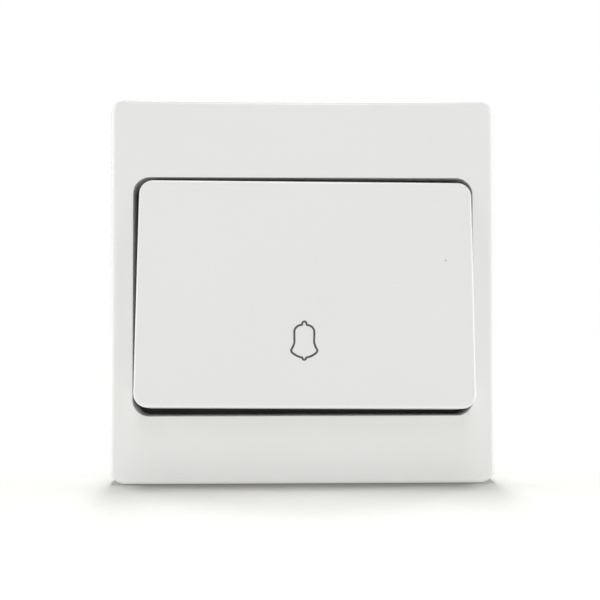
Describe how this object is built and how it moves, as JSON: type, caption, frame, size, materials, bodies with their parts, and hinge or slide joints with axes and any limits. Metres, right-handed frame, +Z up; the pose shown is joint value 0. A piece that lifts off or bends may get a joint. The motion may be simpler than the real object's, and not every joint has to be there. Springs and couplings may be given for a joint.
{
  "type": "doorbell switch",
  "caption": "Square wall plate with a wide sprung rocker that is pressed at its lower edge to ring a bell, with fixing slots and screw terminals behind.",
  "frame": {"origin": "middle of the plate's back, in the wall plane", "axes": "+X right as seen from the front, +Y into the wall, +Z up"},
  "size_m": [0.086, 0.036, 0.086],
  "materials": {
    "white_gloss": "moulded gloss",
    "dark_moulding": "fine matt moulding",
    "grey_moulding": "plain moulding",
    "natural_moulding": "natural nylon",
    "copper": "stamped copper",
    "silver": "silver contact button",
    "brass": "stamped and turned brass",
    "zinc_steel": "zinc plated",
    "spring_steel": "drawn wire"
  },
  "bodies": {
    "fixed": {"face_plate": "white_gloss", "mounting_frame": "dark_moulding", "mechanism_base": "dark_moulding", "return_spring": "spring_steel", "base_screws": "zinc_steel", "fixed_tip_left": "silver", "contact_strip_left": "brass", "strip_rivet_left": "brass", "terminal_left": "brass", "fixed_tip_right": "silver", "contact_strip_right": "brass", "strip_rivet_right": "brass", "terminal_right": "brass"},
    "rocker": {"rocker_cap": "white_gloss", "rocker_carrier": "grey_moulding"},
    "plunger": {"plunger": "natural_moulding", "bridge_contact": "copper", "bridge_tip_left": "silver", "bridge_tip_right": "silver"},
    "terminal_screw_left": {"terminal_screw_left": "zinc_steel"},
    "terminal_screw_right": {"terminal_screw_right": "zinc_steel"}
  },
  "joints": [
    {"name": "rocker_press", "type": "hinge", "parent": "fixed", "child": "rocker", "pos_m": [0, -0.0035, 0], "axis": [1, 0, 0], "range_deg": [0, 6], "stiffness_Nm_per_rad": 0.1, "springref_deg": -20.05},
    {"name": "plunger_slide", "type": "slide", "parent": "fixed", "child": "plunger", "axis": [0, 1, 0], "range_m": [0, 0.0015], "deforming": ["return_spring"]},
    {"name": "terminal_clamp_left", "type": "slide", "parent": "fixed", "child": "terminal_screw_left", "axis": [0, -1, 0], "range_m": [0, 0.0026]},
    {"name": "terminal_clamp_right", "type": "slide", "parent": "fixed", "child": "terminal_screw_right", "axis": [0, -1, 0], "range_m": [0, 0.0026]}
  ],
  "couplings": [
    {"joint": "plunger_slide", "follows": "rocker_press", "m_per_rad": 0.0141}
  ]
}
